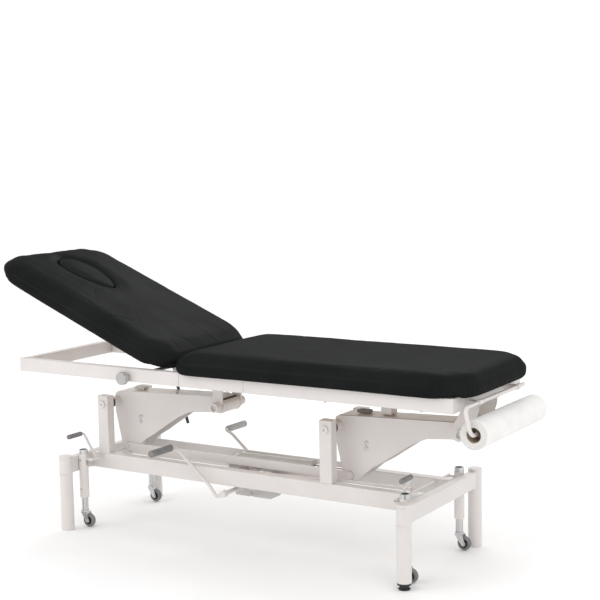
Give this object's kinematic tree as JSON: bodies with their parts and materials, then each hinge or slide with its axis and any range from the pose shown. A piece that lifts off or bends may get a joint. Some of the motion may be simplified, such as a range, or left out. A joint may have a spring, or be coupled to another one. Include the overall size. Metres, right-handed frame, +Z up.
{
  "type": "hydraulic treatment couch",
  "caption": "Two-section hydraulic treatment couch with lifting backrest, face opening, paper roll holder and retractable castors.",
  "frame": {"origin": "on the floor under the middle of the couch as stored", "axes": "+X along the couch to the foot end, +Y to the side away from the pump pedal in view, +Z up"},
  "size_m": [2.0628, 0.61, 1.0389],
  "materials": {
    "white_paint": "warm white satin powder coat",
    "black_vinyl": "slightly glossy grained vinyl",
    "plywood": "plain birch plywood",
    "black_rubber": "matt",
    "grey_rubber": "matt, ribbed",
    "castor_tyre": "matt",
    "zinc_steel": "bright zinc plate",
    "dark_plastic": "moulded",
    "black_plastic": "moulded",
    "black_steel": "black gloss",
    "pump_paint": "light grey-white paint",
    "paper": "plain couch paper"
  },
  "bodies": {
    "base": {"leg_plug": "black_plastic", "leg_head_near": "white_paint", "leg_head_far": "white_paint", "leg_foot_near": "white_paint", "leg_foot_far": "white_paint", "base_cross_head": "white_paint", "base_cross_foot": "white_paint", "base_rail_near": "white_paint", "base_rail_far": "white_paint", "pivot_posts": "white_paint", "pivot_bolts": "zinc_steel", "barrel_bracket": "white_paint", "pump_body": "pump_paint", "castor_guides": "white_paint", "castor_collars": "zinc_steel"},
    "levelling_foot": {"levelling_foot": "black_plastic"},
    "crank_head": {"crank_head": "white_paint", "bumper_head": "black_rubber"},
    "crank_foot": {"crank_foot": "white_paint", "bumper_foot": "black_rubber"},
    "tie": {"tie_bars": "white_paint"},
    "barrel": {"cylinder_barrel": "pump_paint"},
    "piston": {"cylinder_rod": "zinc_steel"},
    "pedal": {"pump_pedal": "zinc_steel", "pump_grips": "grey_rubber"},
    "upper_frame": {"frame_rail_near": "white_paint", "frame_rail_far": "white_paint", "frame_cross_head": "white_paint", "frame_cross_foot": "white_paint", "head_hanger": "white_paint", "foot_gussets": "white_paint", "stop_block": "white_paint", "hinge_cross": "white_paint", "main_board": "plywood", "main_cushion": "black_vinyl", "roll_holder": "white_paint"},
    "backrest": {"backrest_board": "plywood", "backrest_cushion": "black_vinyl"},
    "face_plug": {"face_plug": "black_vinyl"},
    "strut_tube": {"strut_tube": "black_steel"},
    "strut_rod": {"strut_rod": "zinc_steel"},
    "backrest_release": {"release_lever": "black_steel", "hand_knob": "dark_plastic"},
    "paper_roll": {"paper_roll": "paper"},
    "castor_lever_head": {"castor_lever_head": "zinc_steel", "castor_grip_head": "grey_rubber"},
    "castor_lever_foot": {"castor_lever_foot": "zinc_steel", "castor_grip_foot": "grey_rubber"},
    "castor_link": {"castor_link": "white_paint"},
    "castor_stem_head_near": {"castor_stem_head_near": "zinc_steel"},
    "castor_fork_head_near": {"castor_fork_head_near": "zinc_steel"},
    "castor_wheel_head_near": {"castor_wheel_head_near": "castor_tyre"},
    "castor_stem_head_far": {"castor_stem_head_far": "zinc_steel"},
    "castor_fork_head_far": {"castor_fork_head_far": "zinc_steel"},
    "castor_wheel_head_far": {"castor_wheel_head_far": "castor_tyre"},
    "castor_stem_foot_near": {"castor_stem_foot_near": "zinc_steel"},
    "castor_fork_foot_near": {"castor_fork_foot_near": "zinc_steel"},
    "castor_wheel_foot_near": {"castor_wheel_foot_near": "castor_tyre"},
    "castor_stem_foot_far": {"castor_stem_foot_far": "zinc_steel"},
    "castor_fork_foot_far": {"castor_fork_foot_far": "zinc_steel"},
    "castor_wheel_foot_far": {"castor_wheel_foot_far": "castor_tyre"}
  },
  "joints": [
    {"name": "crank_head_pivot", "type": "hinge", "parent": "base", "child": "crank_head", "pos_m": [-0.6216, 0, 0.468], "axis": [0, -1, 0], "range_deg": [0, 40]},
    {"name": "crank_foot_pivot", "type": "hinge", "parent": "base", "child": "crank_foot", "pos_m": [0.3744, 0, 0.468], "axis": [0, -1, 0], "range_deg": [0, 40]},
    {"name": "frame_arm_pivot", "type": "hinge", "parent": "crank_head", "child": "upper_frame", "pos_m": [-0.1316, 0, 0.489], "axis": [0, -1, 0], "range_deg": [-40, 0]},
    {"name": "tie_pivot", "type": "hinge", "parent": "crank_head", "child": "tie", "pos_m": [-0.5766, 0, 0.293], "axis": [0, -1, 0], "range_deg": [-40, 0]},
    {"name": "barrel_pivot", "type": "hinge", "parent": "base", "child": "barrel", "pos_m": [-0.0866, 0, 0.291], "axis": [0, -1, 0], "range_deg": [0, 7]},
    {"name": "piston_slide", "type": "slide", "parent": "barrel", "child": "piston", "axis": [1, 0, 0], "range_m": [0, 0.115]},
    {"name": "backrest_hinge", "type": "hinge", "parent": "upper_frame", "child": "backrest", "pos_m": [-0.2306, 0, 0.684], "axis": [0, 1, 0], "range_deg": [-22.7, 41.3]},
    {"name": "face_plug_lift", "type": "slide", "parent": "backrest", "child": "face_plug", "axis": [0.3859, 0, 0.9225], "range_m": [0, 0.11]},
    {"name": "strut_pivot", "type": "hinge", "parent": "upper_frame", "child": "strut_tube", "pos_m": [-0.2406, 0.09, 0.58], "axis": [0, 1, 0], "range_deg": [-19.5, 35.2]},
    {"name": "strut_slide", "type": "slide", "parent": "strut_tube", "child": "strut_rod", "axis": [-0.8713, 0, 0.4907], "range_m": [-0.0348, 0.0629]},
    {"name": "release_turn", "type": "hinge", "parent": "upper_frame", "child": "backrest_release", "pos_m": [-0.3926, 0, 0.612], "axis": [0, 1, 0], "range_deg": [-18, 18]},
    {"name": "paper_roll_spin", "type": "hinge", "parent": "upper_frame", "child": "paper_roll", "pos_m": [0.9834, 0, 0.53], "axis": [0, 1, 0], "continuous": true},
    {"name": "levelling_screw", "type": "slide", "parent": "base", "child": "levelling_foot", "axis": [0, 0, 1], "range_m": [0, 0.012]},
    {"name": "pump_stroke", "type": "hinge", "parent": "base", "child": "pedal", "pos_m": [-0.0386, 0, 0.196], "axis": [0, -1, 0], "range_deg": [0, 24], "stiffness_Nm_per_rad": 12, "springref_deg": -25.78},
    {"name": "castor_plunger_head_near", "type": "slide", "parent": "base", "child": "castor_stem_head_near", "axis": [0, 0, -1], "range_m": [0, 0.01]},
    {"name": "castor_swivel_head_near", "type": "hinge", "parent": "castor_stem_head_near", "child": "castor_fork_head_near", "pos_m": [-0.6676, -0.207, 0.06], "axis": [0, 0, 1], "continuous": true},
    {"name": "castor_spin_head_near", "type": "hinge", "parent": "castor_fork_head_near", "child": "castor_wheel_head_near", "pos_m": [-0.6476, -0.207, 0.026], "axis": [0, 1, 0], "continuous": true},
    {"name": "castor_plunger_head_far", "type": "slide", "parent": "base", "child": "castor_stem_head_far", "axis": [0, 0, -1], "range_m": [0, 0.01]},
    {"name": "castor_swivel_head_far", "type": "hinge", "parent": "castor_stem_head_far", "child": "castor_fork_head_far", "pos_m": [-0.6676, 0.207, 0.06], "axis": [0, 0, 1], "continuous": true},
    {"name": "castor_spin_head_far", "type": "hinge", "parent": "castor_fork_head_far", "child": "castor_wheel_head_far", "pos_m": [-0.6476, 0.207, 0.026], "axis": [0, 1, 0], "continuous": true},
    {"name": "castor_plunger_foot_near", "type": "slide", "parent": "base", "child": "castor_stem_foot_near", "axis": [0, 0, -1], "range_m": [0, 0.01]},
    {"name": "castor_swivel_foot_near", "type": "hinge", "parent": "castor_stem_foot_near", "child": "castor_fork_foot_near", "pos_m": [0.7204, -0.207, 0.06], "axis": [0, 0, 1], "continuous": true},
    {"name": "castor_spin_foot_near", "type": "hinge", "parent": "castor_fork_foot_near", "child": "castor_wheel_foot_near", "pos_m": [0.7404, -0.207, 0.026], "axis": [0, 1, 0], "continuous": true},
    {"name": "castor_plunger_foot_far", "type": "slide", "parent": "base", "child": "castor_stem_foot_far", "axis": [0, 0, -1], "range_m": [0, 0.01]},
    {"name": "castor_swivel_foot_far", "type": "hinge", "parent": "castor_stem_foot_far", "child": "castor_fork_foot_far", "pos_m": [0.7204, 0.207, 0.06], "axis": [0, 0, 1], "continuous": true},
    {"name": "castor_spin_foot_far", "type": "hinge", "parent": "castor_fork_foot_far", "child": "castor_wheel_foot_far", "pos_m": [0.7404, 0.207, 0.026], "axis": [0, 1, 0], "continuous": true},
    {"name": "castor_lever_head_turn", "type": "hinge", "parent": "base", "child": "castor_lever_head", "pos_m": [-0.6256, 0, 0.266], "axis": [0, -1, 0], "range_deg": [0, 26]},
    {"name": "castor_lever_foot_turn", "type": "hinge", "parent": "base", "child": "castor_lever_foot", "pos_m": [0.6784, 0, 0.266], "axis": [0, 1, 0], "range_deg": [0, 26]},
    {"name": "castor_link_pivot", "type": "hinge", "parent": "castor_lever_head", "child": "castor_link", "pos_m": [-0.63055, 0, 0.24456], "axis": [0, -1, 0], "range_deg": [-26, 0]}
  ],
  "couplings": [
    {"joint": "crank_foot_pivot", "follows": "crank_head_pivot", "ratio": 1},
    {"joint": "frame_arm_pivot", "follows": "crank_head_pivot", "ratio": -1},
    {"joint": "tie_pivot", "follows": "crank_head_pivot", "ratio": -1},
    {"joint": "barrel_pivot", "follows": "crank_head_pivot", "ratio": 0.153},
    {"joint": "piston_slide", "follows": "crank_head_pivot", "m_per_rad": 0.157},
    {"joint": "strut_pivot", "follows": "backrest_hinge", "ratio": 0.845},
    {"joint": "strut_slide", "follows": "backrest_hinge", "m_per_rad": 0.08652},
    {"joint": "castor_lever_foot_turn", "follows": "castor_lever_head_turn", "ratio": 1},
    {"joint": "castor_link_pivot", "follows": "castor_lever_head_turn", "ratio": -1},
    {"joint": "castor_plunger_head_near", "follows": "castor_lever_head_turn", "m_per_rad": 0.02116},
    {"joint": "castor_plunger_head_far", "follows": "castor_lever_head_turn", "m_per_rad": 0.02116},
    {"joint": "castor_plunger_foot_near", "follows": "castor_lever_head_turn", "m_per_rad": 0.02116},
    {"joint": "castor_plunger_foot_far", "follows": "castor_lever_head_turn", "m_per_rad": 0.02116}
  ]
}
